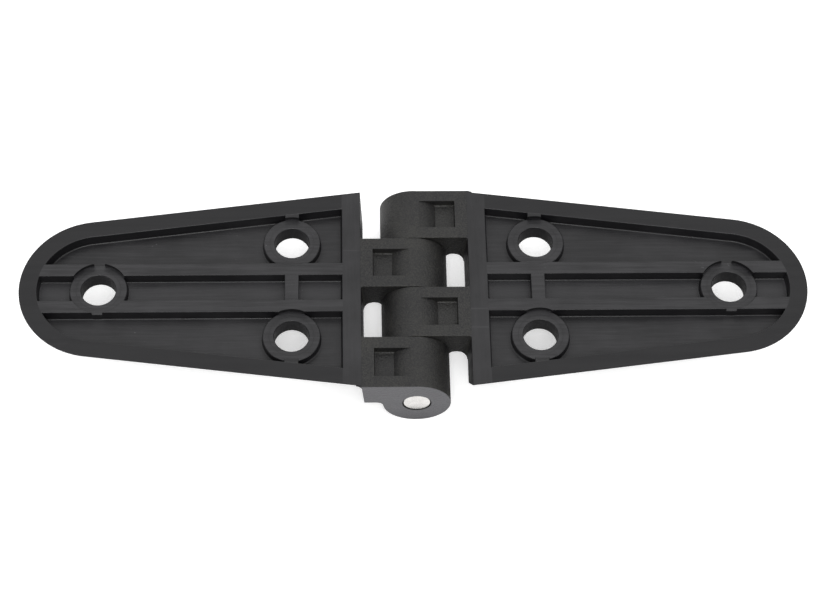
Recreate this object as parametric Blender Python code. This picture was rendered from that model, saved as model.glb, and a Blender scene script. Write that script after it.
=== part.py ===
"""Strap hinge: two long tapered plastic leaves that turn on one steel pin.

The origin is the middle of the pin. X runs along the leaves, Y along the pin and +Z out of
the mounting face, so the hinge lies open and face down with its back up. Both leaves are the
same moulding: the right leaf is the left leaf turned half a turn about Z. "Reach" below is a
distance from the pin's axis along a leaf. Lengths are in metres.
"""

import math

import bmesh
import bpy

# The whole hinge
HINGE_LENGTH = 0.160  # tip to tip, open flat
HINGE_WIDTH = 0.046  # the leaf's width at its base wall
LEAF_THICKNESS = 0.0065  # mounting face to front face

# Knuckles and pin
BARREL_DIAMETER = 0.0136
KNUCKLES_PER_LEAF = 2
KNUCKLE_GAP = 0.0003  # between one knuckle and the next
KNUCKLE_PROUD = 0.00025  # the outer knuckles' end faces stand this far out of the leaves' sides
PIN_DIAMETER = 0.0054
PIN_CLEARANCE = 0.0001  # all round, between the pin and its bore
PIN_RECESS = 0.00015  # each end of the pin below the end knuckle's face
PIN_CHAMFER = 0.0001
BORE_CHAMFER = 0.0002  # at the bore's mouth in the leaf's outer knuckle
WEB_FILLET = 0.0014  # under the web, where it meets the barrel
WEB_PLAN_FILLET = 0.0015  # where a web's side meets the base wall
WEB_ROOT = 0.0003  # how far a web runs into the leaf behind the base wall
RECESS_WIDTH = 0.0064  # shallow recess on top of each web
RECESS_REACH = 0.0085
RECESS_DEPTH = 0.0018

# Leaf outline
BASE_REACH = 0.011  # pin axis to base wall, at the mounting face
BASE_DRAFT = 0.0006  # the base wall leans back by this much over the thickness
TIP_RADIUS = 0.016
FLANK_INSET = 0.0043  # the front face's outline lies this far inside the back's

# Ribs and pockets in the mounting side
RIM_WIDTH = 0.0037
BASE_WALL = 0.0038
POCKET_DEPTH = 0.0025
POCKET_DRAFT = 0.0003
RIB_WIDTH = 0.00285
CHANNEL_WIDTH = 0.0058  # between the two long rails

# Screw holes
SCREW_HOLE_DIAMETER = 0.007
COUNTERSINK_DIAMETER = 0.011
BOSS_DIAMETER = 0.0117
BOSS_DROP = 0.0008  # boss tops below the mounting face
BASE_HOLE_REACH = 0.025
BASE_HOLE_EDGE = 0.012  # base hole's axis to the leaf's side, at the base wall's width

# How finely round shapes are divided
BARREL_STEPS = 48
HOLE_STEPS = 32
TIP_STEPS = 28
FILLET_STEPS = 5

BARREL_RADIUS = BARREL_DIAMETER / 2
BORE_RADIUS = PIN_DIAMETER / 2 + PIN_CLEARANCE
MOUNT_Z = BARREL_RADIUS  # the mounting face is tangent to the barrel
FRONT_Z = MOUNT_Z - LEAF_THICKNESS
ABOVE = MOUNT_Z + 0.002  # cutters end clear of the mounting face
TIP_CENTRE = HINGE_LENGTH / 2 - TIP_RADIUS  # reach of the tip arc and of its screw hole
BASE_HOLE_Y = HINGE_WIDTH / 2 - BASE_HOLE_EDGE
BARREL_LENGTH = HINGE_WIDTH + 2 * KNUCKLE_PROUD
KNUCKLE_PITCH = (BARREL_LENGTH + KNUCKLE_GAP) / (2 * KNUCKLES_PER_LEAF)
KNUCKLE_LENGTH = KNUCKLE_PITCH - KNUCKLE_GAP
RAIL_MIDDLE = (CHANNEL_WIDTH + RIB_WIDTH) / 2
RAIL_EDGE = CHANNEL_WIDTH / 2 + RIB_WIDTH
POCKET_FLOOR = MOUNT_Z - POCKET_DEPTH
BOSS_Z = MOUNT_Z - BOSS_DROP
SCREW_HOLES = (
    (-BASE_HOLE_REACH, BASE_HOLE_Y),
    (-BASE_HOLE_REACH, -BASE_HOLE_Y),
    (-TIP_CENTRE, 0.0),
)


def clear_scene():
    for obj in list(bpy.data.objects):
        bpy.data.objects.remove(obj)


def make_material(name, colour, roughness, metallic):
    material = bpy.data.materials.new(name)
    material.use_nodes = True
    shader = material.node_tree.nodes["Principled BSDF"]
    shader.inputs["Base Color"].default_value = (*colour, 1.0)
    shader.inputs["Roughness"].default_value = roughness
    shader.inputs["Metallic"].default_value = metallic
    return material


def make_solid(name, stacks):
    """One mesh object of closed solids, each lofted through its own stack of rings."""
    work = bmesh.new()
    for rings in stacks:
        loops = [[work.verts.new(point) for point in ring] for ring in rings]
        for lower, upper in zip(loops, loops[1:]):
            for i in range(len(lower)):
                j = (i + 1) % len(lower)
                work.faces.new((lower[i], lower[j], upper[j], upper[i]))
        work.faces.new(reversed(loops[0]))
        work.faces.new(loops[-1])
    bmesh.ops.recalc_face_normals(work, faces=work.faces)
    mesh = bpy.data.meshes.new(name)
    work.to_mesh(mesh)
    work.free()
    obj = bpy.data.objects.new(name, mesh)
    bpy.context.collection.objects.link(obj)
    return obj


def hide_as_tool(obj):
    obj.hide_render = True
    obj.display_type = "WIRE"


def combine(target, tool, operation):
    """Adds the tool to the target, or cuts it out of the target."""
    hide_as_tool(tool)
    modifier = target.modifiers.new(tool.name, "BOOLEAN")
    modifier.operation = operation
    modifier.object = tool


def ring_at(plan, z):
    return [(x, y, z) for x, y in plan]


def upright(plan, low, high):
    """The two rings of an upright prism."""
    return [ring_at(plan, low), ring_at(plan, high)]


def box_plan(x_low, x_high, y_low, y_high):
    return [(x_low, y_low), (x_high, y_low), (x_high, y_high), (x_low, y_high)]


def circle_plan(centre, radius, steps, first=0.0):
    """A circle of even steps, whose first corner is a share of a step round from +X."""
    turns = [2 * math.pi * (first + step) / steps for step in range(steps)]
    return [(centre[0] + radius * math.cos(t), centre[1] + radius * math.sin(t)) for t in turns]


def arc(centre, radius, start, end, steps):
    """Points from one angle to another, both included."""
    angles = [start + (end - start) * step / steps for step in range(steps + 1)]
    return [(centre[0] + radius * math.cos(a), centre[1] + radius * math.sin(a)) for a in angles]


def taper_angle():
    """Lean of the side that runs from the base corner to touch the tip arc."""
    run = TIP_CENTRE - BASE_REACH
    half_width = HINGE_WIDTH / 2
    return math.atan2(half_width, run) - math.asin(TIP_RADIUS / math.hypot(run, half_width))


def leaf_plan(base_reach, inset):
    """The left leaf's outline, moved inward by inset and starting at base_reach."""
    lean = taper_angle()
    offset = TIP_CENTRE * math.sin(lean) + TIP_RADIUS - inset
    corner = (offset - base_reach * math.sin(lean)) / math.cos(lean)
    quarter = math.pi / 2
    tip = arc((-TIP_CENTRE, 0.0), TIP_RADIUS - inset, quarter + lean, 3 * quarter - lean, TIP_STEPS)
    return [(-base_reach, -corner), (-base_reach, corner), *tip]


def knuckle_span(index):
    """Y of the lower and upper end of the left leaf's knuckle, counted from the -Y end."""
    low = -BARREL_LENGTH / 2 + 2 * index * KNUCKLE_PITCH
    return low, low + KNUCKLE_LENGTH


def web_end():
    """Where a web stops inside the leaf, at the mounting face and at the front face."""
    return -BASE_REACH - WEB_ROOT, -BASE_REACH + BASE_DRAFT - WEB_ROOT


def knuckle_profile():
    """Section of one knuckle and its web, as X and Z."""
    fillet_z = FRONT_Z - WEB_FILLET
    fillet_x = -math.sqrt((BARREL_RADIUS + WEB_FILLET) ** 2 - fillet_z**2)
    touch = math.atan2(fillet_z, fillet_x)
    quarter = math.pi / 2
    free_side = arc((0.0, 0.0), BARREL_RADIUS, quarter, -quarter, BARREL_STEPS // 2)
    web_side = arc((0.0, 0.0), BARREL_RADIUS, -quarter, touch % math.tau - math.tau, BARREL_STEPS // 5)
    fillet = arc((fillet_x, fillet_z), WEB_FILLET, touch + math.pi, quarter, FILLET_STEPS)
    top, bottom = web_end()
    return [*free_side, *web_side[1:], *fillet[1:], (bottom, FRONT_Z), (top, MOUNT_Z)]


def along_y(profile, y_low, y_high):
    """The two rings of a prism that runs along the pin."""
    return [[(x, y, z) for x, z in profile] for y in (y_low, y_high)]


def make_knuckles():
    profile = knuckle_profile()
    spans = [knuckle_span(index) for index in range(KNUCKLES_PER_LEAF)]
    return make_solid("knuckles", [along_y(profile, *span) for span in spans])


def make_web_fillets():
    """Upright fillets in the corners between the webs' sides and the base wall."""
    front_wall = BASE_REACH - BASE_DRAFT
    root = BASE_REACH + WEB_ROOT
    stacks = []
    for index in range(KNUCKLES_PER_LEAF):
        for side, y in zip((-1, 1), knuckle_span(index)):
            if abs(y) > BARREL_LENGTH / 2 - WEB_PLAN_FILLET:
                continue
            inside = y - side * WEB_PLAN_FILLET / 2
            centre = (WEB_PLAN_FILLET - front_wall, y + side * WEB_PLAN_FILLET)
            curve = arc(centre, WEB_PLAN_FILLET, -side * math.pi / 2, -side * math.pi, FILLET_STEPS)
            plan = [(curve[0][0], inside), *curve, (-root, curve[-1][1]), (-root, inside)]
            stacks.append(upright(plan, FRONT_Z, MOUNT_Z))
    return make_solid("web_fillets", stacks)


def make_pocket_tool():
    """The space inside the rim, less the rails, the cross rib and the bosses."""
    floor_plan = leaf_plan(BASE_REACH + BASE_WALL + POCKET_DRAFT, RIM_WIDTH + POCKET_DRAFT)
    mouth_plan = leaf_plan(BASE_REACH + BASE_WALL, RIM_WIDTH)
    rings = [ring_at(floor_plan, POCKET_FLOOR), ring_at(mouth_plan, MOUNT_Z), ring_at(mouth_plan, ABOVE)]
    pockets = make_solid("pockets", [rings])
    below = POCKET_FLOOR - 0.001
    above = ABOVE + 0.001
    for side in (-1, 1):
        near = side * RAIL_MIDDLE - RIB_WIDTH / 2
        plan = box_plan(-HINGE_LENGTH / 2, -BASE_REACH, near, near + RIB_WIDTH)
        combine(pockets, make_solid("rail", [upright(plan, below, above)]), "DIFFERENCE")
    plan = rib_plan(-HINGE_WIDTH / 2, HINGE_WIDTH / 2)
    combine(pockets, make_solid("cross_rib", [upright(plan, below, above)]), "DIFFERENCE")
    combine(pockets, make_solid("bosses", boss_columns(below, above)), "DIFFERENCE")
    return pockets


def boss_columns(low, high):
    """Columns on the screw holes. They start half a step round, so no corner meets a rail's side."""
    plans = [circle_plan(hole, BOSS_DIAMETER / 2, HOLE_STEPS, 0.5) for hole in SCREW_HOLES]
    return [upright(plan, low, high) for plan in plans]


def rib_plan(y_low, y_high):
    """A stretch of the cross rib, which runs over the two screw holes near the base."""
    return box_plan(-BASE_HOLE_REACH - RIB_WIDTH / 2, -BASE_HOLE_REACH + RIB_WIDTH / 2, y_low, y_high)


def make_relief():
    """Lowers the bosses below the rim, and cuts into the rails and rib ends that they pass."""
    return make_solid("relief", boss_columns(BOSS_Z, ABOVE))


def make_screw_holes():
    """Straight through holes with a right-angled countersink in the front face."""
    hole = SCREW_HOLE_DIAMETER / 2
    flare = COUNTERSINK_DIAMETER / 2
    past = 0.0005
    levels = [(FRONT_Z - past, flare + past), (FRONT_Z + flare - hole, hole), (ABOVE, hole)]
    return make_solid(
        "screw_holes",
        [[ring_at(circle_plan(place, r, HOLE_STEPS), z) for z, r in levels] for place in SCREW_HOLES],
    )


def turned_along_y(stations, steps):
    """Rings of a round bar along the pin, from (y, radius) stations."""
    rings = []
    for y, radius in stations:
        rings.append([(x, y, z) for x, z in circle_plan((0.0, 0.0), radius, steps)])
    return rings


def make_pin_bore():
    """The bore, with a chamfer at its mouth in the outer knuckle, which ends at -Y."""
    mouth = -BARREL_LENGTH / 2
    past = 0.0005
    stations = [
        (mouth - past, BORE_RADIUS + BORE_CHAMFER + past),
        (mouth + BORE_CHAMFER, BORE_RADIUS),
        (BARREL_LENGTH, BORE_RADIUS),
    ]
    return make_solid("pin_bore", [turned_along_y(stations, BARREL_STEPS)])


def make_web_recesses():
    """Shallow recess on each web, which the barrel's own round rises out of."""
    floor = MOUNT_Z - RECESS_DEPTH
    foot = math.pi - math.asin(floor / BARREL_RADIUS)
    curve = arc((0.0, 0.0), BARREL_RADIUS, math.pi / 2, foot, FILLET_STEPS + 2)
    profile = [(0.0, ABOVE), *curve, (-RECESS_REACH, floor), (-RECESS_REACH, ABOVE)]
    stacks = []
    for index in range(KNUCKLES_PER_LEAF):
        middle = sum(knuckle_span(index)) / 2
        stacks.append(along_y(profile, middle - RECESS_WIDTH / 2, middle + RECESS_WIDTH / 2))
    return make_solid("web_recesses", stacks)


def make_leaf_mesh():
    front = leaf_plan(BASE_REACH - BASE_DRAFT, FLANK_INSET)
    back = leaf_plan(BASE_REACH, 0.0)
    leaf = make_solid("leaf", [[ring_at(front, FRONT_Z), ring_at(back, MOUNT_Z)]])
    hide_as_tool(leaf)
    combine(leaf, make_knuckles(), "UNION")
    combine(leaf, make_web_fillets(), "UNION")
    for tool in (make_pocket_tool(), make_relief(), make_screw_holes()):
        combine(leaf, tool, "DIFFERENCE")
    for tool in (make_pin_bore(), make_web_recesses()):
        combine(leaf, tool, "DIFFERENCE")
    graph = bpy.context.evaluated_depsgraph_get()
    mesh = bpy.data.meshes.new_from_object(leaf.evaluated_get(graph))
    clear_scene()
    mesh.name = "leaf"
    mesh.shade_smooth()
    mesh.set_sharp_from_angle(angle=math.radians(30))
    return mesh


def add_leaf(name, mesh, turn):
    leaf = bpy.data.objects.new(name, mesh)
    leaf.rotation_euler.z = turn
    bpy.context.collection.objects.link(leaf)
    return leaf


def add_pin():
    end = BARREL_LENGTH / 2 - PIN_RECESS
    radius = PIN_DIAMETER / 2
    stations = [
        (-end, radius - PIN_CHAMFER),
        (-end + PIN_CHAMFER, radius),
        (end - PIN_CHAMFER, radius),
        (end, radius - PIN_CHAMFER),
    ]
    pin = make_solid("hinge_pin", [turned_along_y(stations, BARREL_STEPS)])
    pin.data.shade_smooth()
    pin.data.set_sharp_from_angle(angle=math.radians(30))
    return pin


def main():
    clear_scene()
    mesh = make_leaf_mesh()
    mesh.materials.append(make_material("black_nylon", (0.012, 0.012, 0.013), 0.45, 0.0))
    add_leaf("left_leaf", mesh, 0.0)
    add_leaf("right_leaf", mesh, math.pi)
    pin = add_pin()
    pin.data.materials.append(make_material("pin_steel", (0.72, 0.70, 0.67), 0.3, 1.0))


main()
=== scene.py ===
"""Strap hinge: two long tapered black plastic leaves that turn on one steel pin, in a pale studio.

The hinge lies open with its ribbed backs up. X runs along the leaves, Y along the pin and +Z out
of the backs, and the middle of the pin is the origin. Lengths are in metres. "Reach" is a
distance from the pin's axis along a leaf. Both leaves are one moulding: the left one is
modelled, and the right one is its copy, turned half a turn about Z.
"""

import math

import bmesh
import bpy
from mathutils import Matrix, Vector


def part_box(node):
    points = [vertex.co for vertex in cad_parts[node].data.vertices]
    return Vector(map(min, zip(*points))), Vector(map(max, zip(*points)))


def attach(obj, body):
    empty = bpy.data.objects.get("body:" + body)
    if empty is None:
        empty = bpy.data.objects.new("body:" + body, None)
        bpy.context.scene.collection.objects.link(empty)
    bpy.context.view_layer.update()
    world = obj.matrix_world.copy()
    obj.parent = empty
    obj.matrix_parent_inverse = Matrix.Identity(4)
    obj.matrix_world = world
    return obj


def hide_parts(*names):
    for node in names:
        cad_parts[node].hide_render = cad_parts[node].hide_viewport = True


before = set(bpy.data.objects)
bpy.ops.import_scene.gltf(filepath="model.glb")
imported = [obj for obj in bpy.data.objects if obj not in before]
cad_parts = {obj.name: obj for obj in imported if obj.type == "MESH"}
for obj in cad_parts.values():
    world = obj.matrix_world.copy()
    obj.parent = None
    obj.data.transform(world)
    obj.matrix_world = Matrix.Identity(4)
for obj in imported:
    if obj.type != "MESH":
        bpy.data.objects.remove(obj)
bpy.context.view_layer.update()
LEAF_LOW, LEAF_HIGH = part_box("left_leaf")
PIN_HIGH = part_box("hinge_pin")[1]

bl_info = {
    "name": "Strap Hinge",
    "version": (1, 0, 0),
    "blender": (4, 5, 0),
    "location": "3D View > Sidebar > Hinge",
    "description": "Builds a moulded strap hinge with ribbed tapered leaves and a steel pin",
    "category": "Add Mesh",
}

SPECK = 1e-4
CLEAR = 0.002  # cutters run this far past what they cut
SINK = 0.0006  # ribs, bosses and web corners run this far into what they stand on
HAIR = 0.00003  # keeps the faces of two joined solids out of one plane
SAME_PLANE = 2e-6  # points this near a plane count as in it
SAME_POINT = 2e-7  # the two ends of a full turn lie this near each other
SLIVER = 1.5e-6  # points this near each other after a Boolean are one
FLAT = 0.97  # a face whose normal rises more than this is level
BOSS_RING = 0.0013  # width of the lower ring round a boss's top
BOSS_STEP = 0.00005  # the ring lies this far below the middle of the top
RAIL_ROOT = 0.0016  # the rails run this far into the base wall
CROSS_INSET = 0.0012  # the cross rib ends this far inside the rim's width at the base wall
ROUND_STEPS = 96  # sides of a boss
HOLE_STEPS = 72  # sides of a hole, a leaf's tip and the pin
STAGE_RADIUS = 2.5
QUARTER = math.pi / 2
FLARE_DIP = math.radians(12)  # a flared foot goes this much under the floor, to meet it at an angle
X_AXIS, Y_AXIS, Z_AXIS = (1, 0, 0), (0, 1, 0), (0, 0, 1)


def size(name, text, default):
    return bpy.props.FloatProperty(
        name=name, description=text, default=default, min=0.0, unit="LENGTH", precision=5
    )


def angle(name, text, degrees):
    return bpy.props.FloatProperty(
        name=name, description=text, default=math.radians(degrees), subtype="ANGLE"
    )


def share(name, text, default, top=1.0):
    return bpy.props.FloatProperty(name=name, description=text, default=default, min=0.0, max=top)


def tint(name, text, default):
    return bpy.props.FloatVectorProperty(
        name=name, description=text, default=default, size=3, min=0.0, max=1.0, subtype="COLOR"
    )


class HingeLeafSizes(bpy.types.PropertyGroup):
    """Sizes of the flat part of a leaf"""

    half_length: size("Half length", "Pin axis to the leaf's tip", -LEAF_LOW.x)
    width: size("Width", "Leaf's width at its base wall", 2 * LEAF_HIGH.y)
    thickness: size("Thickness", "Back face to front face", 0.0065)
    base_reach: size("Base reach", "Pin axis to the base wall, at the back", 0.011)
    base_draft: size("Base draft", "How far the base wall leans over its height", 0.0006)
    tip_radius: size("Tip radius", "Radius of the rounded tip", 0.016)
    flank_inset: size("Flank inset", "Front outline inside the back outline", 0.0043)
    rim: size("Rim", "Width of the flat rim round the pockets", 0.0037)
    base_wall: size("Base wall", "Width of the wall next to the knuckles", 0.0038)
    pocket_depth: size("Pocket depth", "Rim down to the pocket floors", 0.0025)
    pocket_draft: size("Pocket draft", "How far a pocket's walls lean in", 0.0001)
    back_edge: size("Back edge", "Rounding of the outer edge of the back", 0.00014)
    front_edge: size("Front edge", "Rounding of the edge of the front face", 0.0007)
    mouth_edge: size("Mouth edge", "Rounding of the rim's inner edge", 0.00016)
    floor_fillet: size("Floor fillet", "Rounding where a wall meets a pocket floor", 0.0003)


class HingeRibSizes(bpy.types.PropertyGroup):
    """Sizes of the ribs, bosses and screw holes"""

    rib: size("Rib", "Width of the rails and of the cross rib", 0.00285)
    channel: size("Channel", "Gap between the two rails", 0.0058)
    rib_edge: size("Rib edge", "Rounding of the ribs' top edges", 0.00014)
    rib_drop: size("Rib drop", "Rails below the rim", 0.00003)
    hole: size("Screw hole", "Diameter of a screw hole", 0.007)
    countersink: size("Countersink", "Diameter of the countersink in the front face", 0.011)
    hole_edge: size("Hole edge", "Rounding of a screw hole's mouth", 0.0002)
    boss: size("Boss", "Diameter of the boss round a screw hole", 0.0117)
    boss_drop: size("Boss drop", "Boss tops below the rim", 0.0008)
    boss_edge: size("Boss edge", "Rounding of a boss's top edge", 0.0003)
    base_hole_reach: size("Base hole reach", "Pin axis to the two base screw holes", 0.025)
    base_hole_edge: size("Base hole edge", "Base screw hole to the leaf's side", 0.012)


class HingeKnuckleSizes(bpy.types.PropertyGroup):
    """Sizes of the knuckles, their webs and the pin"""

    radius: size("Barrel radius", "Outer radius of the knuckles", LEAF_HIGH.z)
    length: size("Barrel length", "Over the end faces of the outer knuckles", -2 * LEAF_LOW.y)
    gap: size("Knuckle gap", "Gap between one knuckle and the next", 0.00012)
    edge: size("Knuckle edge", "Rounding of a knuckle's end edges", 0.00012)
    web_drop: size("Web drop", "Webs below the leaf's back", 0.00004)
    web_fillet: size("Web fillet", "Rounding under a web, at the barrel", 0.0014)
    web_corner: size("Web corner", "Rounding in a web's corner with the base wall, at the front", 0.0018)
    web_corner_top: size("Web corner at the back", "The same rounding, at the back", 0.0004)
    web_root: size("Web root", "How far a web runs into the leaf", 0.00012)
    flank_blend: size("Flank blend", "Rounding between the outer web and the leaf's side", 0.0012)
    recess_width: size("Recess width", "Recess in a web, along the pin", 0.0064)
    recess_reach: size("Recess reach", "Pin axis to the recess's far wall", 0.0085)
    recess_depth: size("Recess depth", "Back down to the recess's floor", 0.0018)
    recess_fillet: size("Recess fillet", "Rounding at the recess's floor", 0.00035)
    bore: size("Bore radius", "Radius of the pin's bore", 0.0028)
    bore_edge: size("Bore edge", "Widening of the bore at its mouth", 0.0001)
    pin_radius: size("Pin radius", "Radius of the pin", PIN_HIGH.x)
    pin_half_length: size("Pin half length", "Middle of the pin to its end", PIN_HIGH.y)
    pin_edge: size("Pin edge", "Rounding of the pin's ends", 0.00012)


class HingeFinishes(bpy.types.PropertyGroup):
    """Colours and finishes of the hinge"""

    nylon: tint("Nylon", "Black nylon of the leaves", (0.0052, 0.0050, 0.0060))
    # Also the colour that the channel floor is lightened towards as painted light, and the edge roundings
    # towards as a painted highlight.
    nylon_streaks_and_painted_light: tint("Scuffed nylon", "Paler streaks in the nylon", (0.0235, 0.0230, 0.0250))
    # Also the colour of the painted highlight on the knuckles' edge roundings.
    nylon_grain_and_highlight: tint("Eroded nylon", "Pale grain on the knuckles", (0.023, 0.0225, 0.0200))
    # Paler than the nylon partly for the end face's sanded grain and partly as a painted reflection of the
    # lit floor before it.
    cut_face_and_reflection: tint("Cut nylon", "Dulled end face of the outer knuckle", (0.10, 0.099, 0.106))
    fleck: tint("Fleck", "Tiny pale flecks of glass and dust", (0.075, 0.075, 0.08))
    nylon_roughness: share("Nylon roughness", "Roughness of the moulded faces", 0.42)
    steel: tint("Steel", "Stainless steel of the pin", (0.80, 0.78, 0.76))
    steel_roughness: share("Steel roughness", "Roughness of the pin's ends", 0.26)


class HingeStage(bpy.types.PropertyGroup):
    """The studio round the hinge"""

    floor: tint("Floor", "Pale floor under the hinge", (0.90, 0.90, 0.90))
    glow: share("Floor glow", "Light that the floor gives by itself, as a light table does", 0.45, 5.0)
    strip: share("Bright strip", "Light of the floor before and behind the barrel, in reflections", 0.9, 5.0)
    gloss_tone: share("Floor in reflections", "Tone of the floor in reflections, against its own", 0.35)
    room: share("Room light", "Strength of the light from overhead, behind and the left", 1.35, 5.0)
    room_dark: share("Room dark", "Share of that light from the dark side of the room", 0.06)
    azimuth: angle("Azimuth", "Camera's turn round the hinge", -3.851)
    elevation: angle("Elevation", "Camera's height as an angle", 59.0)
    roll: angle("Roll", "Camera's tilt about its own axis", 2.968)
    distance: size("Distance", "Camera to the middle of the hinge", 0.47686)
    aside: bpy.props.FloatVectorProperty(
        name="Aside", description="Camera's shift right and up from the middle of the hinge",
        default=(0.00115, 0.00072), size=2, unit="LENGTH", precision=5,
    )
    lens: bpy.props.FloatProperty(
        name="Lens", description="Focal length", default=99.63, unit="CAMERA"
    )


GROUPS = {
    "hinge_leaf": HingeLeafSizes,
    "hinge_ribs": HingeRibSizes,
    "hinge_knuckles": HingeKnuckleSizes,
    "hinge_finishes": HingeFinishes,
    "hinge_stage": HingeStage,
}


def settings(name):
    return getattr(bpy.context.scene, name)


# Modelling by hand: each helper is a few operators in a row


def turn(centre, axis, angle, steps):
    """A stroke of draw() that goes round a centre. Positive turns follow the right hand."""
    return ("turn", centre, axis, angle, steps)


def edit_data():
    return bmesh.from_edit_mesh(bpy.context.object.data)


def open_edit(name):
    """Starts a new solid from a speck of a plane and leaves it open for editing, empty."""
    if bpy.context.mode != "OBJECT":
        raise RuntimeError(f"{name}: another solid is still open")
    bpy.ops.object.select_all(action="DESELECT")
    bpy.ops.mesh.primitive_plane_add(size=SPECK, location=(0, 0, 0))
    bpy.context.object.name = bpy.context.object.data.name = name
    bpy.ops.object.mode_set(mode="EDIT")
    bpy.ops.mesh.delete(type="VERT")


def close_edit():
    """Merges what coincides, turns the faces outward and leaves edit mode."""
    bpy.ops.mesh.select_all(action="SELECT")
    bpy.ops.mesh.remove_doubles(threshold=1e-7)
    bpy.ops.mesh.normals_make_consistent(inside=False)
    bpy.ops.object.mode_set(mode="OBJECT")
    solid = bpy.context.object
    require_closed(solid)
    return solid


def require_closed(solid):
    work = bmesh.new()
    work.from_mesh(solid.data)
    gaps = [edge_middle(edge) * 1000 for edge in work.edges if len(edge.link_faces) != 2]
    volume = work.calc_volume(signed=True)
    work.free()
    if gaps or volume <= 0:
        raise RuntimeError(
            f"{solid.name} isn't one closed solid: volume {volume:.3g}, bad edges (mm) {gaps[:4]}"
        )


def pick(kind, test):
    """Selects the vertices, edges or faces of the open solid that pass the test."""
    bpy.context.tool_settings.mesh_select_mode = (kind == "VERT", kind == "EDGE", kind == "FACE")
    bpy.ops.mesh.select_all(action="DESELECT")
    work = edit_data()
    items = {"VERT": work.verts, "EDGE": work.edges, "FACE": work.faces}[kind]
    items.index_update()
    found = 0
    for item in items:
        if test(item):
            item.select_set(True)
            found += 1
    work.select_flush_mode()
    bmesh.update_edit_mesh(bpy.context.object.data)
    if not found:
        raise RuntimeError(f"{bpy.context.object.name}: nothing to select")


def edge_middle(edge):
    return (edge.verts[0].co + edge.verts[1].co) / 2


def flat_at(edge, axis, value):
    """Whether both ends of an edge lie in one plane across an axis."""
    return all(abs(vert.co[axis] - value) < SAME_PLANE for vert in edge.verts)


def draw(start, strokes):
    """Draws one closed outline in the open solid: a corner is extruded to each point, or spun."""
    bpy.context.tool_settings.mesh_select_mode = (True, False, False)
    bpy.ops.mesh.select_all(action="DESELECT")
    first = len(edit_data().verts)
    bpy.ops.mesh.primitive_plane_add(size=SPECK, location=start)
    bpy.ops.mesh.merge(type="CENTER")
    here = Vector(start)
    for stroke in strokes:
        if stroke[0] == "turn":
            _, centre, axis, angle, steps = stroke
            bpy.ops.mesh.spin(steps=steps, angle=-angle, center=centre, axis=axis)
        else:
            bpy.ops.mesh.extrude_region_move(TRANSFORM_OT_translate={"value": Vector(stroke) - here})
        here = next(vert.co.copy() for vert in edit_data().verts if vert.select)
    work = edit_data()
    work.verts.ensure_lookup_table()
    work.verts[first].select_set(True)
    bmesh.update_edit_mesh(bpy.context.object.data)
    bpy.ops.mesh.edge_face_add()
    return first, len(edit_data().verts)


def fill(outline):
    """Closes an outline with one face and leaves that face selected."""
    pick("VERT", lambda vert: outline[0] <= vert.index < outline[1])
    bpy.ops.mesh.edge_face_add()


def bridge(lower, upper):
    pick("VERT", lambda vert: lower[0] <= vert.index < lower[1] or upper[0] <= vert.index < upper[1])
    bpy.ops.mesh.bridge_edge_loops()


def loft(outlines):
    """Skins a row of outlines and closes both ends."""
    for lower, upper in zip(outlines, outlines[1:]):
        bridge(lower, upper)
    fill(outlines[0])
    fill(outlines[-1])


def extrude_outline(start, strokes, travel):
    fill(draw(start, strokes))
    bpy.ops.mesh.extrude_region_move(TRANSFORM_OT_translate={"value": travel})


def lathe(start, strokes, centre, axis, steps):
    """Draws half a section that starts and ends on the axis, and spins it into a closed solid."""
    outline = draw(start, strokes)
    work = edit_data()
    work.verts.ensure_lookup_table()
    ends = {outline[0], next(vert.index for vert in work.verts if vert.select and vert.index != outline[0])}
    pick("EDGE", lambda edge: {edge.verts[0].index, edge.verts[1].index} == ends)
    bpy.ops.mesh.delete(type="EDGE")
    bpy.ops.mesh.select_all(action="SELECT")
    bpy.ops.mesh.spin(steps=steps, angle=2 * math.pi, center=centre, axis=axis)
    bpy.ops.mesh.select_all(action="SELECT")
    bpy.ops.mesh.remove_doubles(threshold=SAME_POINT)


def bevel(width, segments):
    bpy.ops.mesh.bevel(offset=width, segments=segments, profile=0.5, affect="EDGES")


def bake(solid, kind, **values):
    """Adds one modifier with these values and applies it."""
    bpy.ops.object.select_all(action="DESELECT")
    bpy.context.view_layer.objects.active = solid
    solid.select_set(True)
    modifier = solid.modifiers.new(kind.title(), kind)
    for name, value in values.items():
        setattr(modifier, name, value)
    bpy.ops.object.modifier_apply(modifier=modifier.name)


def weld(solid):
    """Merges the slivers that a Boolean leaves where outlines nearly touch."""
    bpy.ops.object.mode_set(mode="EDIT")
    bpy.ops.mesh.select_all(action="SELECT")
    bpy.ops.mesh.remove_doubles(threshold=SLIVER)
    bpy.ops.mesh.dissolve_degenerate(threshold=1e-6)
    bpy.ops.object.mode_set(mode="OBJECT")


def combine(target, tools, operation):
    """Joins the tools to the target, or cuts them all out, in one go, and clears them away."""
    group = bpy.data.collections.new("tools")
    for tool in tools:
        group.objects.link(tool)
    bake(target, "BOOLEAN", operation=operation, operand_type="COLLECTION", collection=group, solver="EXACT")
    weld(target)
    for tool in tools:
        bpy.data.meshes.remove(tool.data)
    bpy.data.collections.remove(group)
    require_closed(target)


def copy_at(solid, name, shift):
    """A copy with its own mesh, moved into place in the mesh itself."""
    bpy.ops.object.select_all(action="DESELECT")
    bpy.context.view_layer.objects.active = solid
    solid.select_set(True)
    bpy.ops.object.duplicate(linked=False)
    copy = bpy.context.object
    copy.name = copy.data.name = name
    bpy.ops.object.mode_set(mode="EDIT")
    bpy.ops.mesh.select_all(action="SELECT")
    bpy.ops.transform.translate(value=shift)
    bpy.ops.object.mode_set(mode="OBJECT")
    return copy


# The leaf's plan


def levels():
    """Heights that the leaf's parts share: back, front, pocket floor and boss tops."""
    leaf, ribs = settings("hinge_leaf"), settings("hinge_ribs")
    back = settings("hinge_knuckles").radius
    return back, back - leaf.thickness, back - leaf.pocket_depth, back - ribs.boss_drop


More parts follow.
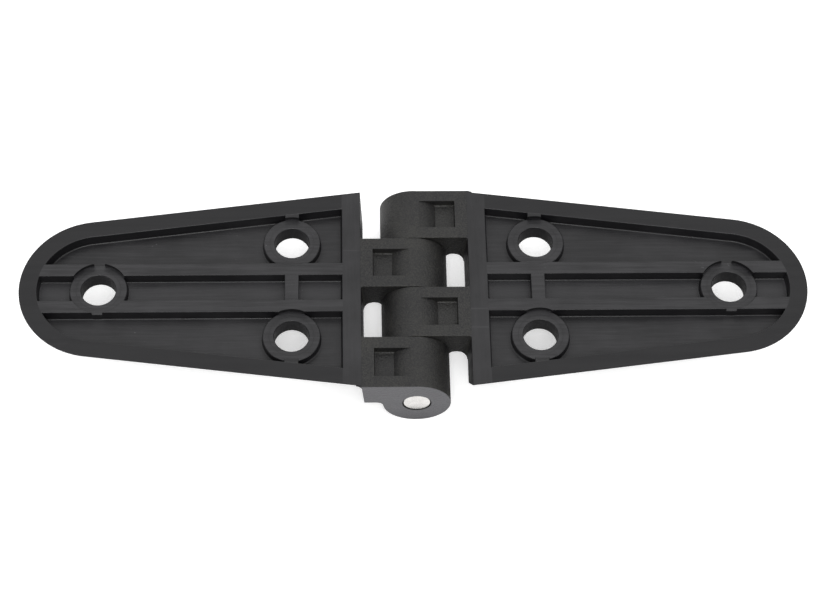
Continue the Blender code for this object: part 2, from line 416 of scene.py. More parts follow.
def leaf_outline(base_reach, inset, height):
    """Draws the left leaf's outline, moved inward by inset, with its base at base_reach."""
    leaf = settings("hinge_leaf")
    centre = leaf.half_length - leaf.tip_radius
    run, half = centre - leaf.base_reach, leaf.width / 2
    lean = math.atan2(half, run) - math.asin(leaf.tip_radius / math.hypot(run, half))
    offset = centre * math.sin(lean) + leaf.tip_radius - inset
    corner = (offset - base_reach * math.sin(lean)) / math.cos(lean)
    radius = leaf.tip_radius - inset
    touch = (-centre + radius * math.cos(QUARTER + lean), radius * math.sin(QUARTER + lean), height)
    strokes = [
        (-base_reach, corner, height),
        touch,
        turn((-centre, 0, height), Z_AXIS, math.pi - 2 * lean, HOLE_STEPS),
    ]
    return draw((-base_reach, -corner, height), strokes)


def screw_places():
    leaf, ribs = settings("hinge_leaf"), settings("hinge_ribs")
    base_y = leaf.width / 2 - ribs.base_hole_edge
    tip = leaf.half_length - leaf.tip_radius
    return [(-ribs.base_hole_reach, base_y), (-ribs.base_hole_reach, -base_y), (-tip, 0.0)]


def knuckle_spans():
    """Y of both ends of each of the left leaf's two knuckles."""
    sizes = settings("hinge_knuckles")
    start, pitch = -sizes.length / 2, (sizes.length + sizes.gap) / 4
    return [(start + low * pitch, start + (low + 1) * pitch - sizes.gap) for low in (0, 2)]


def make_plate():
    """The leaf's body: a loft from the front outline to the back one, with rounded edges."""
    leaf = settings("hinge_leaf")
    back, front, _, _ = levels()
    open_edit("plate")
    loft([
        leaf_outline(leaf.base_reach - leaf.base_draft, leaf.flank_inset, front),
        leaf_outline(leaf.base_reach, 0.0, back),
    ])
    pick("EDGE", lambda edge: flat_at(edge, 2, front))
    bevel(leaf.front_edge, 4)
    pick("EDGE", lambda edge: flat_at(edge, 2, back))
    bevel(leaf.back_edge, 3)
    return close_edit()


def make_tray():
    """The space inside the rim, with a rounded foot and a broken edge at its mouth."""
    leaf = settings("hinge_leaf")
    back, _, floor, _ = levels()
    inner = leaf.base_reach + leaf.base_wall
    edge = leaf.mouth_edge
    open_edit("tray")
    loft([
        leaf_outline(inner + leaf.pocket_draft, leaf.rim + leaf.pocket_draft, floor),
        leaf_outline(inner, leaf.rim, back - edge),
        leaf_outline(inner - edge * 0.4, leaf.rim - edge * 0.4, back - edge * 0.4),
        leaf_outline(inner - edge * 2, leaf.rim - edge * 2, back + edge * 0.6),
        leaf_outline(inner - edge * 2, leaf.rim - edge * 2, back + CLEAR),
    ])
    pick("EDGE", lambda item: flat_at(item, 2, floor))
    bevel(leaf.floor_fillet, 4)
    return close_edit()


def make_bar(name, low, high, top, along, foot):
    """A straight rib on the floor, with broken top edges and, if foot isn't 0, flared feet.

    It runs along one axis between low and high, which are (x, y) corners of its plan."""
    floor, edge = levels()[2], settings("hinge_ribs").rib_edge
    across = 1 - along

    def point(sideways, height):
        spot = [0.0, 0.0, height]
        spot[along] = low[along]
        spot[across] = sideways
        return tuple(spot)

    near, far = low[across], high[across]
    strokes = [point(far, top)]
    if foot:
        axis, sign = ((X_AXIS, 1), (Y_AXIS, -1))[along]
        flare = QUARTER + FLARE_DIP
        strokes += [
            point(far, floor + foot),
            turn(point(far + foot, floor + foot), axis, sign * flare, 5),
            point(far + foot * 0.6, floor - SINK),
            point(near - foot * 0.6, floor - SINK),
            point(near - foot + foot * math.sin(FLARE_DIP), floor + foot - foot * math.cos(FLARE_DIP)),
            turn(point(near - foot, floor + foot), axis, sign * flare, 5),
        ]
    else:
        strokes += [point(far, floor - SINK), point(near, floor - SINK)]
    travel = [0.0, 0.0, 0.0]
    travel[along] = high[along] - low[along]
    open_edit(name)
    extrude_outline(point(near, top), strokes, travel)

    def runs_along(item):
        return abs((item.verts[1].co - item.verts[0].co)[along]) > edge

    pick("EDGE", lambda item: flat_at(item, 2, top) and runs_along(item))
    bevel(edge, 3)
    return close_edit()


def make_relief_post(place):
    """The column over a boss that the ribs are cut back by."""
    ribs = settings("hinge_ribs")
    radius = ribs.boss / 2
    low = levels()[3] - 0.0001
    open_edit("relief")
    bpy.ops.mesh.primitive_cylinder_add(
        vertices=ROUND_STEPS, radius=radius, depth=2 * CLEAR, location=(*place, low + CLEAR),
        rotation=(0, 0, math.pi / ROUND_STEPS),
    )
    return close_edit()


def make_boss(place):
    """A turned boss with a flared foot, a fine step in its top and a rounded edge."""
    leaf, ribs = settings("hinge_leaf"), settings("hinge_ribs")
    _, _, floor, top = levels()
    radius, edge, foot = ribs.boss / 2, ribs.boss_edge, leaf.floor_fillet * 0.8
    x, y = place
    ring, top_edge = radius - BOSS_RING, top - BOSS_STEP
    open_edit("boss")
    strokes = [
        (x + ring - SPECK, y, top),
        (x + ring, y, top_edge),
        (x + radius - edge, y, top_edge),
        turn((x + radius - edge, y, top_edge - edge), Y_AXIS, QUARTER, 4),
        (x + radius, y, floor + foot),
        turn((x + radius + foot, y, floor + foot), Y_AXIS, -(QUARTER + FLARE_DIP), 4),
        (x + radius + foot * 0.6, y, floor - SINK),
        (x, y, floor - SINK),
    ]
    lathe((x, y, top), strokes, (x, y, 0), Z_AXIS, ROUND_STEPS)
    return close_edit()


def make_ribs():
    """The two rails and the cross rib, which reach into the rim and are cut back round the bosses."""
    leaf, ribs = settings("hinge_leaf"), settings("hinge_ribs")
    top = levels()[0] - ribs.rib_drop
    inner, outer = ribs.channel / 2, ribs.channel / 2 + ribs.rib
    start, end = leaf.rim - leaf.half_length, -(leaf.base_reach + RAIL_ROOT)
    rails = [
        make_bar("rail_upper", (start, inner), (end, outer), top, 0, leaf.floor_fillet),
        make_bar("rail_lower", (start, -outer), (end, -inner), top, 0, leaf.floor_fillet),
    ]
    end_y = leaf.width / 2 - leaf.rim - CROSS_INSET
    x, half = -ribs.base_hole_reach, ribs.rib / 2
    cross = make_bar("cross_rib", (x - half, -end_y), (x + half, end_y), top - ribs.rib_drop, 1, 0)
    upper, lower, tip = screw_places()
    combine(rails[0], [make_relief_post(upper), make_relief_post(tip)], "DIFFERENCE")
    combine(rails[1], [make_relief_post(lower), make_relief_post(tip)], "DIFFERENCE")
    combine(cross, [make_relief_post(upper), make_relief_post(lower)], "DIFFERENCE")
    return [*rails, cross]


def make_screw_cutter(place):
    """A straight hole with a broken mouth and a right-angled countersink in the front face."""
    ribs = settings("hinge_ribs")
    back, front, _, top = levels()
    hole, flare, edge = ribs.hole / 2, ribs.countersink / 2, ribs.hole_edge
    x, y = place
    open_edit("screw_cutter")
    strokes = [
        (x + flare + 0.0006, y, front - 0.0005),
        (x + flare + 0.0001, y, front),
        (x + flare - 0.0001, y, front + 0.00025),
        (x + hole, y, front + flare - hole),
        (x + hole, y, top - edge),
        turn((x + hole + edge, y, top - edge), Y_AXIS, math.radians(72), 4),
        (x + hole + edge * 0.9, y, back + CLEAR),
        (x, y, back + CLEAR),
    ]
    lathe((x, y, front - 0.0005), strokes, (x, y, 0), Z_AXIS, HOLE_STEPS)
    return close_edit()


def make_knuckle(span):
    """One knuckle with its web, as a section that is extruded along the pin."""
    leaf, sizes = settings("hinge_leaf"), settings("hinge_knuckles")
    front = levels()[1]
    radius, fillet = sizes.radius, sizes.web_fillet
    web_top = radius - sizes.web_drop
    low, high = span
    root = leaf.base_reach + sizes.web_root
    fillet_z = front - fillet + HAIR
    fillet_x = -math.sqrt((radius + fillet) ** 2 - fillet_z**2)
    touch = math.atan2(fillet_z, fillet_x) % math.tau  # where the fillet meets the barrel
    start_angle = math.acos(web_top / radius) + QUARTER
    start = (radius * math.cos(start_angle), low, radius * math.sin(start_angle))
    open_edit("knuckle")
    strokes = [
        turn((0, low, 0), Y_AXIS, start_angle + math.tau - touch, 104),
        turn((fillet_x, low, fillet_z), Y_AXIS, touch + math.pi - math.tau - QUARTER, 6),
        (leaf.base_draft - root, low, front + HAIR),
        (-root, low, web_top),
    ]
    extrude_outline(start, strokes, (0, high - low, 0))
    pick("EDGE", lambda edge: flat_at(edge, 1, low) or flat_at(edge, 1, high))
    bevel(sizes.edge, 3)
    return close_edit()


def make_web_corners(span):
    """Upright fillets between a web's sides and the base wall, which widen towards the front."""
    leaf, sizes = settings("hinge_leaf"), settings("hinge_knuckles")
    bottom, top = levels()[1] + 2 * HAIR, sizes.radius - 2 * sizes.web_drop

    def section(side, y, height, radius, wall):
        inside, outer, root = y - side * SINK, y + side * radius, -wall - sizes.web_root
        strokes = [
            (radius - wall, y, height),
            turn((radius - wall, outer, height), Z_AXIS, -side * QUARTER, 6),
            (root, outer, height),
            (root, inside, height),
        ]
        return draw((radius - wall, inside, height), strokes)

    solids = []
    for side, y in zip((-1, 1), span):
        if abs(y) > sizes.length / 2 - sizes.web_corner:
            continue
        open_edit("web_corner")
        loft([
            section(side, y, bottom, sizes.web_corner, leaf.base_reach - leaf.base_draft),
            section(side, y, top, sizes.web_corner_top, leaf.base_reach),
        ])
        solids.append(close_edit())
    return solids


def make_flank_blend():
    """The rounding in the outer corner, where the leaf's leaning side runs into the outer web."""
    leaf, sizes = settings("hinge_leaf"), settings("hinge_knuckles")
    back, front, _, _ = levels()
    radius, inside, end = sizes.flank_blend, 0.0004, -sizes.length / 2 + HAIR

    def section(height, wall, y):
        strokes = [
            (-wall - radius, y + inside, height),
            (-wall - radius, y, height),
            turn((-wall - radius, y - radius, height), Z_AXIS, -QUARTER, 6),
            (inside - wall, y - radius, height),
        ]
        return draw((inside - wall, y + inside, height), strokes)

    open_edit("flank_blend")
    loft([
        section(front + 2 * HAIR, leaf.base_reach - leaf.base_draft, leaf.flank_inset - leaf.width / 2),
        section(back - 0.00008, leaf.base_reach, -leaf.width / 2),
    ])
    blend = close_edit()
    open_edit("end_trim")
    bpy.ops.mesh.primitive_cube_add(
        size=1, location=(-leaf.base_reach, end - CLEAR, back),
        scale=(CLEAR * 2, CLEAR * 2, leaf.thickness * 4),
    )
    combine(blend, [close_edit()], "DIFFERENCE")
    return blend


def make_recess_cutter(span):
    """The shallow recess on a web: the barrel's own round on one side, walls on the others."""
    sizes = settings("hinge_knuckles")
    radius = sizes.radius - 0.00002
    floor = sizes.radius - sizes.recess_depth
    low = sum(span) / 2 - sizes.recess_width / 2
    foot = math.pi - math.asin(floor / radius)
    steep = math.radians(100)
    start = (radius * math.cos(steep), low, radius * math.sin(steep))
    open_edit("recess_cutter")
    strokes = [
        turn((0, low, 0), Y_AXIS, steep - foot, 10),
        (-sizes.recess_reach, low, floor),
        (-sizes.recess_reach - 0.0001, low, sizes.radius + CLEAR),
        (start[0], low, sizes.radius + CLEAR),
    ]
    extrude_outline(start, strokes, (0, sizes.recess_width, 0))
    barrel_side = radius * math.cos(foot) - SPECK
    pick("EDGE", lambda edge: flat_at(edge, 2, floor) and edge_middle(edge).x < barrel_side)
    bevel(sizes.recess_fillet, 3)
    return close_edit()


def make_bore_cutter():
    """The pin's bore, slightly wider at the outer knuckle's end."""
    sizes = settings("hinge_knuckles")
    mouth = -sizes.length / 2
    radius, edge = sizes.bore, sizes.bore_edge
    open_edit("bore_cutter")
    strokes = [
        (radius + edge * 1.8, mouth - edge, 0),
        (radius + edge * 1.2, mouth + edge * 0.2, 0),
        (radius + edge, mouth + edge * 8, 0),
        (radius, mouth + edge * 9, 0),
        (radius, sizes.length, 0),
        (0, sizes.length, 0),
    ]
    lathe((0, mouth - edge, 0), strokes, (0, 0, 0), Y_AXIS, HOLE_STEPS)
    return close_edit()


def finish_shading(solid):
    """Smooth faces with crisp edges, and normals that keep the flats flat."""
    bpy.ops.object.select_all(action="DESELECT")
    bpy.context.view_layer.objects.active = solid
    solid.select_set(True)
    bpy.ops.object.shade_smooth_by_angle(angle=math.radians(36))
    bake(solid, "WEIGHTED_NORMAL", keep_sharp=True, weight=100)


def mark_regions(solid):
    """Stores the finish of each face, because the mould was polished region by region.
    Some regions also carry painted light.

    "polish" is 1 on the rim and base wall, "scuff" on the ribs' and bosses' tops, "floor" on the
    pocket floors, "knuckle" on knuckles and webs, "cut" on the outer knuckle's end face and "edge"
    on the roundings of outer edges. The "edge" roundings are painted lighter as a painted
    highlight, and the "cut" end face is painted paler, partly for its sanded grain and partly as a
    painted reflection of the lit floor before it."""
    leaf, ribs, sizes = (settings(name) for name in ("hinge_leaf", "hinge_ribs", "hinge_knuckles"))
    back, _, floor, boss_top = levels()
    side_y = leaf.width / 2 - ribs.base_hole_edge
    table = {"polish": [], "raised_tops": [], "floor": [], "knuckle": [], "cut": [], "edge": []}
    for face in solid.data.polygons:
        reach, height, up = abs(face.center.x), face.center.z, face.normal.z
        on_leaf = reach > leaf.base_reach - leaf.base_draft / 2
        on_back = on_leaf and up > FLAT and height > back - ribs.rib_drop / 2
        past_boss = abs(face.center.y) > side_y + ribs.boss / 2  # the cross rib's short ends
        in_bore = math.hypot(reach, height) < sizes.bore + 0.0003
        outer = height > floor + 0.001 if on_leaf else abs(face.normal.y) > 0.15
        leaning = 0.15 < up < FLAT and outer
        table["polish"].append(on_back)
        raised = on_leaf and up > FLAT and height > boss_top - 0.0002
        # Rib and boss tops, which the material makes lighter than the rim.
        table["raised_tops"].append(raised and not on_back and not past_boss)
        table["floor"].append(on_leaf and up > FLAT and abs(height - floor) < SPECK)
        table["knuckle"].append(not on_leaf)
        # Outer end faces, painted paler partly as a painted reflection of the lit floor before them.
        table["cut"].append(abs(face.center.y) > sizes.length / 2 - 0.00005)
        # Edge roundings, which the material paints lighter as a painted highlight.
        table["edge"].append(leaning and not in_bore)
    for name, values in table.items():
        store = solid.data.attributes.new(name, "FLOAT", "FACE")
        store.data.foreach_set("value", [float(value) for value in values])


# Materials


def calc(tree, operation, *values):
    """A Math node over sockets and numbers; gives its output."""
    node = tree.nodes.new("ShaderNodeMath")
    node.operation = operation
    for index, value in enumerate(values):
        if isinstance(value, bpy.types.NodeSocket):
            tree.links.new(value, node.inputs[index])
        else:
            node.inputs[index].default_value = value
    return node.outputs[0]


def blend_colour(tree, amount, first, second):
    node = tree.nodes.new("ShaderNodeMix")
    node.data_type = "RGBA"
    for socket, value in ((node.inputs[0], amount), (node.inputs[6], first), (node.inputs[7], second)):
        if isinstance(value, bpy.types.NodeSocket):
            tree.links.new(value, socket)
        else:
            socket.default_value = value
    return node.outputs[2]


def spread(tree, value, low, high, start=0.0, end=1.0):
    """Maps a value from low..high to start..end, and stops at the ends."""
    node = tree.nodes.new("ShaderNodeMapRange")
    tree.links.new(value, node.inputs["Value"])
    for name, number in (("From Min", low), ("From Max", high), ("To Min", start), ("To Max", end)):
        node.inputs[name].default_value = number
    return node.outputs["Result"]


def stretched(tree, coordinates, scale, turned=(0.0, 0.0, 0.0)):
    node = tree.nodes.new("ShaderNodeMapping")
    tree.links.new(coordinates, node.inputs["Vector"])
    node.inputs["Scale"].default_value = scale
    node.inputs["Rotation"].default_value = turned
    return node.outputs["Vector"]


def noise(tree, coordinates, scale, detail=2.0, roughness=0.5):
    node = tree.nodes.new("ShaderNodeTexNoise")
    tree.links.new(coordinates, node.inputs["Vector"])
    for name, number in (("Scale", scale), ("Detail", detail), ("Roughness", roughness)):
        node.inputs[name].default_value = number
    return node.outputs["Fac"]


def cells(tree, coordinates, scale):
    """Distance to the nearest of many scattered points."""
    node = tree.nodes.new("ShaderNodeTexVoronoi")
    tree.links.new(coordinates, node.inputs["Vector"])
    node.inputs["Scale"].default_value = scale
    return node.outputs["Distance"]


def mix_value(tree, amount, first, second):
    node = tree.nodes.new("ShaderNodeMix")
    for socket, value in zip(node.inputs[:1] + node.inputs[2:4], (amount, first, second)):
        tree.links.new(value, socket)
    return node.outputs[0]


def bump(tree, height, strength, distance, normal=None):
    node = tree.nodes.new("ShaderNodeBump")
    tree.links.new(height, node.inputs["Height"])
    node.inputs["Strength"].default_value = strength
    node.inputs["Distance"].default_value = distance
    if normal:
        tree.links.new(normal, node.inputs["Normal"])
    return node.outputs["Normal"]


def attribute(tree, name):
    node = tree.nodes.new("ShaderNodeAttribute")
    node.attribute_name = name
    return node.outputs["Fac"]


def new_material(name):
    material = bpy.data.materials.new(name)
    material.use_nodes = True
    tree = material.node_tree
    shader = tree.nodes["Principled BSDF"]
    coordinates = tree.nodes.new("ShaderNodeTexCoord").outputs["Object"]
    return material, tree, shader, coordinates


def total(tree, *terms):
    """Sum of the terms, each a socket or a (socket, factor) pair."""
    result = 0.0
    for term in terms:
        value = calc(tree, "MULTIPLY", *term) if isinstance(term, tuple) else term
        result = calc(tree, "ADD", result, value)
    return result


def black_nylon():
    """Glass-filled black nylon: drawn streaks on the leaf, grain of erosion on the knuckles, flecks, and
    painted light on some regions.
    """
    finish, leaf = settings("hinge_finishes"), settings("hinge_leaf")
    material, tree, shader, place = new_material("black_nylon")
    polish, raised_tops, floor, knuckle, cut, edge = (
        attribute(tree, name) for name in ("polish", "raised_tops", "floor", "knuckle", "cut", "edge")
    )
    parts = tree.nodes.new("ShaderNodeSeparateXYZ")
    tree.links.new(place, parts.inputs["Vector"])
    reach, aside = (calc(tree, "ABSOLUTE", parts.outputs[name]) for name in "XY")
    base = calc(tree, "MULTIPLY", calc(tree, "LESS_THAN", reach, leaf.base_reach + leaf.base_wall), polish)
    rim = calc(tree, "SUBTRACT", polish, base)
    # Painted light: the channel floor between the rails is painted lighter, to lift the shade that the rails
    # cast on it.
    between_rails = calc(tree, "LESS_THAN", aside, settings("hinge_ribs").channel / 2)
    channel = calc(tree, "MULTIPLY", between_rails, floor)
    on_leaf = calc(tree, "SUBTRACT", 1.0, knuckle)

    fine_streaks = mix_value(
        tree, base,
        noise(tree, stretched(tree, place, (90, 2300, 2300)), 1.0, 3.0, 0.6),
        noise(tree, stretched(tree, place, (2000, 110, 2000)), 1.0, 3.0, 0.6),
    )
    broad_streaks = mix_value(
        tree, base,
        noise(tree, stretched(tree, place, (24, 560, 560)), 1.0, 2.0, 0.5),
        noise(tree, stretched(tree, place, (700, 75, 700)), 1.0, 2.0, 0.6),
    )
    clouds = noise(tree, place, 120.0, 3.0, 0.55)
    grain = noise(tree, place, 4200.0, 3.0, 0.7)
    pores = cells(tree, place, 2400.0)
    scratches = spread(tree, noise(tree, stretched(tree, place, (45, 1500, 1500)), 1.0, 1.0), 0.72, 0.78)
    speck_size = spread(tree, noise(tree, place, 240.0, 1.0), 0.5, 0.75, 0.0, 0.13)
    speck = calc(tree, "LESS_THAN", cells(tree, place, 900.0), speck_size)
    speck = calc(tree, "MULTIPLY", speck, calc(tree, "ADD", floor, raised_tops))

    flats = total(tree, (polish, 0.3), raised_tops, (floor, 0.55))
    streaks_and_painted_light = total(
        tree,
        (spread(tree, fine_streaks, 0.38, 0.72, -0.20, 0.60), flats),
        (spread(tree, broad_streaks, 0.35, 0.70, -0.10, 0.25), flats),
        (spread(tree, clouds, 0.35, 0.70, -0.2, 0.35), on_leaf),
        # Painted light: the channel term lifts the shade between the rails, and the edge term is a painted
        # highlight on edge roundings; the other terms make the rib and boss tops, pocket floors and base
        # wall lighter and the rim darker.
        (raised_tops, 0.45), (floor, 0.3), (channel, 0.5), (base, 0.3), (rim, -0.3), (edge, 0.2),
        (calc(tree, "MULTIPLY", scratches, base), 0.8),
    )
    grain_and_edge_highlight = total(
        tree,
        spread(tree, grain, 0.40, 0.64, -0.1, 1.1),
        spread(tree, clouds, 0.35, 0.70, -0.2, 0.3),
        # Painted highlight on the knuckles' edge roundings.
        (edge, 0.5),
    )
    colour = blend_colour(tree, streaks_and_painted_light, (*finish.nylon, 1), (*finish.nylon_streaks_and_painted_light, 1))
    knuckle_grain_and_highlight = blend_colour(tree, grain_and_edge_highlight, (*finish.nylon, 1), (*finish.nylon_grain_and_highlight, 1))
    colour = blend_colour(tree, knuckle, colour, knuckle_grain_and_highlight)
    # Painted reflection: the outer end face is paler, partly for its sanded grain and partly standing in for
    # the lit floor that it mirrors.
    dull = (*(0.6 * part for part in finish.cut_face_and_reflection), 1)
    grain_and_reflection = blend_colour(tree, grain, dull, (*finish.cut_face_and_reflection, 1))
    colour = blend_colour(tree, cut, colour, grain_and_reflection)
    colour = blend_colour(tree, calc(tree, "MULTIPLY", speck, 0.6), colour, (*finish.fleck, 1))
    tree.links.new(colour, shader.inputs["Base Color"])

    rough = total(
        tree, finish.nylon_roughness,
        (spread(tree, broad_streaks, 0.3, 0.7, -0.06, 0.06), on_leaf),
        spread(tree, clouds, 0.3, 0.7, -0.03, 0.03),
        (knuckle, 0.05), (base, -0.04), (rim, 0.12), (edge, -0.04),
    )
    tree.links.new(rough, shader.inputs["Roughness"])
    shader.inputs["Specular IOR Level"].default_value = 0.38

    lines = total(tree, (fine_streaks, 0.6), broad_streaks)
    drawn = bump(tree, calc(tree, "MULTIPLY", lines, on_leaf), 0.3, 0.00006)
    pitted = calc(tree, "MULTIPLY", total(tree, grain, (pores, 0.8)), total(tree, (knuckle, 0.9), 0.10))
    tree.links.new(bump(tree, pitted, 0.8, 0.0001, drawn), shader.inputs["Normal"])
    return material


def pin_steel():
    """Stainless steel with faint turning rings and fine scratches on the ends."""
    finish = settings("hinge_finishes")
    material, tree, shader, place = new_material("pin_steel")
    parts = tree.nodes.new("ShaderNodeSeparateXYZ")
    tree.links.new(place, parts.inputs["Vector"])
    squares = (calc(tree, "POWER", parts.outputs[name], 2.0) for name in "XZ")
    radius = calc(tree, "SQRT", calc(tree, "ADD", *squares))
    rings = calc(tree, "SINE", calc(tree, "MULTIPLY", radius, 42000.0))
    scratches = noise(tree, stretched(tree, place, (3000, 3000, 300), (0.0, 0.5, 0.0)), 1.0, 3.0)
    blotch = noise(tree, place, 900.0, 3.0)
    colour = blend_colour(
        tree, spread(tree, blotch, 0.35, 0.7),
        (*finish.steel, 1), (*(0.86 * part for part in finish.steel), 1),
    )
    tree.links.new(colour, shader.inputs["Base Color"])
    rough = calc(tree, "ADD", spread(tree, scratches, 0.3, 0.7, -0.05, 0.06), finish.steel_roughness)
    tree.links.new(rough, shader.inputs["Roughness"])
    shader.inputs["Metallic"].default_value = 1.0
    height = calc(tree, "ADD", calc(tree, "MULTIPLY", rings, 0.25), scratches)
    tree.links.new(bump(tree, height, 0.25, 0.00002), shader.inputs["Normal"])
    return material


def pale_floor():
    stage = settings("hinge_stage")
    material, tree, shader, place = new_material("pale_floor")
    tone = noise(tree, place, 6.0, 2.0)
    colour = blend_colour(tree, tone, (*stage.floor, 1), (*(0.985 * part for part in stage.floor), 1))
    tree.links.new(colour, shader.inputs["Base Color"])
    shader.inputs["Roughness"].default_value = 0.8
    shader.inputs["Specular IOR Level"].default_value = 0.2
    shader.inputs["Emission Color"].default_value = (1.0, 1.0, 1.0, 1.0)
    shader.inputs["Emission Strength"].default_value = stage.glow
    return material


def floor_in_gloss():
    """The floor as the hinge mirrors it: a grey sheet with a bright strip before the end knuckles."""
    stage = settings("hinge_stage")
    material, tree, shader, place = new_material("floor_in_gloss")
    parts = tree.nodes.new("ShaderNodeSeparateXYZ")
    tree.links.new(place, parts.inputs["Vector"])
    ahead = calc(tree, "ABSOLUTE", parts.outputs["Y"])
    strip = spread(tree, ahead, LEAF_HIGH.y, LEAF_HIGH.y + 0.003, 0.0, stage.strip)
    tree.links.new(strip, shader.inputs["Emission Strength"])
    shader.inputs["Base Color"].default_value = (*(stage.gloss_tone * part for part in stage.floor), 1)
    shader.inputs["Roughness"].default_value = 0.8
    shader.inputs["Specular IOR Level"].default_value = 0.2
    shader.inputs["Emission Color"].default_value = (1.0, 1.0, 1.0, 1.0)
    return material


# Operators


def model_leaf(name):
    """The whole left moulding, from plate to bore."""
    spans, places = knuckle_spans(), screw_places()
    leaf = make_plate()
    combine(leaf, [make_tray()], "DIFFERENCE")
    corners = [corner for span in spans for corner in make_web_corners(span)]
    bosses = [make_boss(place) for place in places]
    knuckles = [make_knuckle(span) for span in spans]
    combine(leaf, [*make_ribs(), *bosses, *knuckles, *corners, make_flank_blend()], "UNION")
    holes = [make_screw_cutter(place) for place in places]
    recesses = [make_recess_cutter(span) for span in spans]
    combine(leaf, [*holes, *recesses, make_bore_cutter()], "DIFFERENCE")
    leaf.name = leaf.data.name = name
    return leaf


class HINGE_OT_leaves(bpy.types.Operator):
    """Models the left leaf's moulding and its turned copy, the right one"""

    bl_idname = "hinge.leaves"
    bl_label = "Build Leaves"

    def execute(self, context):
        left = model_leaf("left_leaf_moulding")
        right = copy_at(left, "right_leaf_moulding", (0, 0, 0))
        bpy.ops.object.mode_set(mode="EDIT")
        bpy.ops.mesh.select_all(action="SELECT")
        bpy.ops.transform.rotate(value=math.pi, orient_axis="Z", center_override=(0, 0, 0))
        bpy.ops.object.mode_set(mode="OBJECT")
        nylon = black_nylon()
        for leaf, body in ((left, "left_leaf"), (right, "right_leaf")):
            finish_shading(leaf)
            mark_regions(leaf)
            leaf.data.materials.clear()
            leaf.data.materials.append(nylon)
            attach(leaf, body)
            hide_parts(body)
        return {"FINISHED"}


class HINGE_OT_pin(bpy.types.Operator):
    """Turns the steel pin that both leaves swing on"""

    bl_idname = "hinge.pin"
    bl_label = "Build Pin"

    def execute(self, context):
        sizes = settings("hinge_knuckles")
        radius, end, edge = sizes.pin_radius, sizes.pin_half_length, sizes.pin_edge
        open_edit("steel_pin")
        strokes = [
            (radius - edge, -end, 0),
            turn((radius - edge, -end + edge, 0), Z_AXIS, QUARTER, 4),
            (radius, end - edge, 0),
            turn((radius - edge, end - edge, 0), Z_AXIS, QUARTER, 4),
            (0, end, 0),
        ]
        lathe((0, -end, 0), strokes, (0, 0, 0), Y_AXIS, HOLE_STEPS)
        pin = close_edit()
        finish_shading(pin)
        pin.data.materials.append(pin_steel())
        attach(pin, "left_leaf")
        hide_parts("hinge_pin")
        return {"FINISHED"}


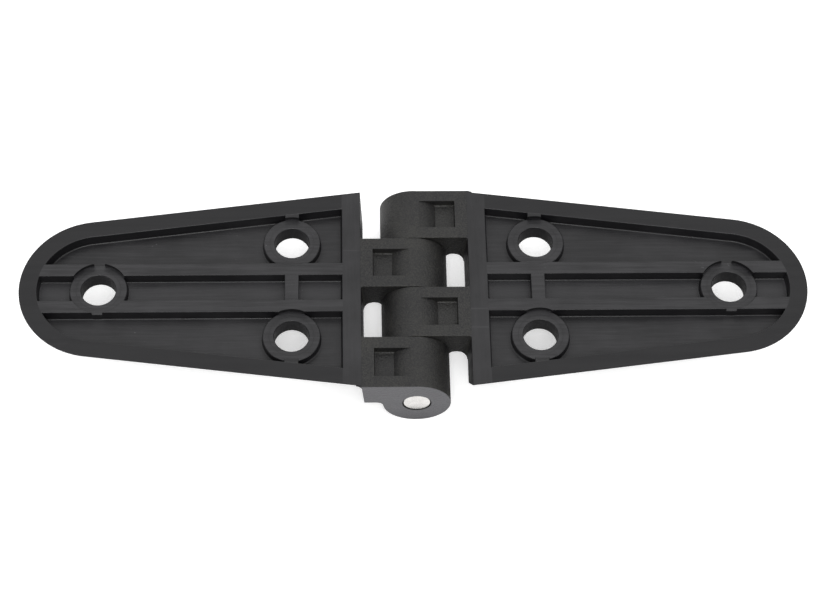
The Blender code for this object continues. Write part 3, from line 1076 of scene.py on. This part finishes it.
class HINGE_OT_stage(bpy.types.Operator):
    """Sets the pale floor, the soft studio light and the camera"""

    bl_idname = "hinge.stage"
    bl_label = "Build Stage"

    def execute(self, context):
        stage = settings("hinge_stage")
        bpy.ops.object.select_all(action="DESELECT")
        bpy.ops.mesh.primitive_circle_add(
            vertices=ROUND_STEPS, radius=STAGE_RADIUS, fill_type="NGON", location=(0, 0, LEAF_LOW.z)
        )
        floor = context.object
        floor.name = "studio_floor"
        bpy.ops.object.mode_set(mode="EDIT")
        bpy.ops.mesh.select_all(action="SELECT")
        bpy.ops.mesh.inset(thickness=0.05)
        bpy.ops.object.mode_set(mode="OBJECT")
        shade = copy_at(floor, "floor_in_gloss", (0, 0, -SPECK))
        floor.data.materials.append(pale_floor())
        shade.data.materials.append(floor_in_gloss())
        floor.visible_glossy = False  # floor_in_gloss stands in for it there
        shade.visible_camera = shade.visible_diffuse = shade.visible_shadow = False
        self.light_room(context, stage)
        self.place_camera(context, stage)
        context.scene.view_settings.view_transform = "Standard"
        return {"FINISHED"}

    def light_room(self, context, stage):
        world = bpy.data.worlds.new("studio_room")
        context.scene.world = world
        world.use_nodes = True
        tree = world.node_tree
        background = tree.nodes["Background"]
        parts = tree.nodes.new("ShaderNodeSeparateXYZ")
        tree.links.new(tree.nodes.new("ShaderNodeTexCoord").outputs["Generated"], parts.inputs["Vector"])
        right, back, up = (parts.outputs[name] for name in "XYZ")
        overhead = spread(tree, up, 0.25, 0.80)
        left = spread(tree, right, 0.1, -0.8, 0.0, 0.35)
        backdrop = spread(tree, back, 0.62, 0.85)
        light = stage.room_dark
        for patch in (overhead, left, backdrop):
            light = calc(tree, "MAXIMUM", patch, light)
        tree.links.new(calc(tree, "MULTIPLY", light, stage.room), background.inputs["Strength"])
        background.inputs["Color"].default_value = (1.0, 1.0, 1.0, 1.0)
        softboxes = (
            ("softbox_front", (0.0, -0.55, 0.75), 0.35, 3.0),
            ("softbox_left", (-0.75, -0.45, 0.42), 0.2, 1.0),
            ("softbox_right", (0.75, -0.45, 0.42), 0.2, 1.0),
        )
        for name, place, width, power in softboxes:
            towards = -Vector(place)
            bpy.ops.object.light_add(
                type="AREA", location=place, rotation=towards.to_track_quat("-Z", "Y").to_euler()
            )
            lamp = context.object
            lamp.name = name
            lamp.data.shape = "SQUARE"
            lamp.data.size = width
            lamp.data.energy = power

    def place_camera(self, context, stage):
        tilt = stage.elevation
        away = Vector((
            math.sin(stage.azimuth) * math.cos(tilt),
            -math.cos(stage.azimuth) * math.cos(tilt),
            math.sin(tilt),
        ))
        right = Vector(Z_AXIS).cross(away).normalized()
        axes = Matrix((right, away.cross(right), away)).transposed()
        axes = axes @ Matrix.Rotation(stage.roll, 3, "Z")
        place = axes @ Vector((stage.aside[0], stage.aside[1], stage.distance))
        bpy.ops.object.camera_add(location=place, rotation=axes.to_euler())
        camera = context.object
        camera.name = "studio_camera"
        camera.data.lens = stage.lens
        camera.data.sensor_width = 36.0
        camera.data.clip_start, camera.data.clip_end = 0.01, 20.0
        context.scene.camera = camera


class HINGE_PT_sidebar(bpy.types.Panel):
    """Lists the hinge's parts and their sizes"""

    bl_idname = "HINGE_PT_sidebar"
    bl_label = "Strap Hinge"
    bl_space_type = "VIEW_3D"
    bl_region_type = "UI"
    bl_category = "Hinge"

    def draw(self, context):
        for operator in OPERATORS:
            self.layout.operator(operator.bl_idname)
        for name, group in GROUPS.items():
            box = self.layout.box()
            box.label(text=group.__doc__)
            for prop in group.__annotations__:
                box.prop(getattr(context.scene, name), prop)


OPERATORS = (HINGE_OT_leaves, HINGE_OT_pin, HINGE_OT_stage)


def register():
    for group in GROUPS.values():
        bpy.utils.register_class(group)
    for item in (*OPERATORS, HINGE_PT_sidebar):
        bpy.utils.register_class(item)
    for name, group in GROUPS.items():
        setattr(bpy.types.Scene, name, bpy.props.PointerProperty(type=group))


def unregister():
    for name in GROUPS:
        delattr(bpy.types.Scene, name)
    for item in (HINGE_PT_sidebar, *reversed(OPERATORS)):
        bpy.utils.unregister_class(item)
    for group in reversed(GROUPS.values()):
        bpy.utils.unregister_class(group)


def main():
    register()
    bpy.ops.hinge.leaves()
    bpy.ops.hinge.pin()
    bpy.ops.hinge.stage()


if __name__ == "__main__":
    main()
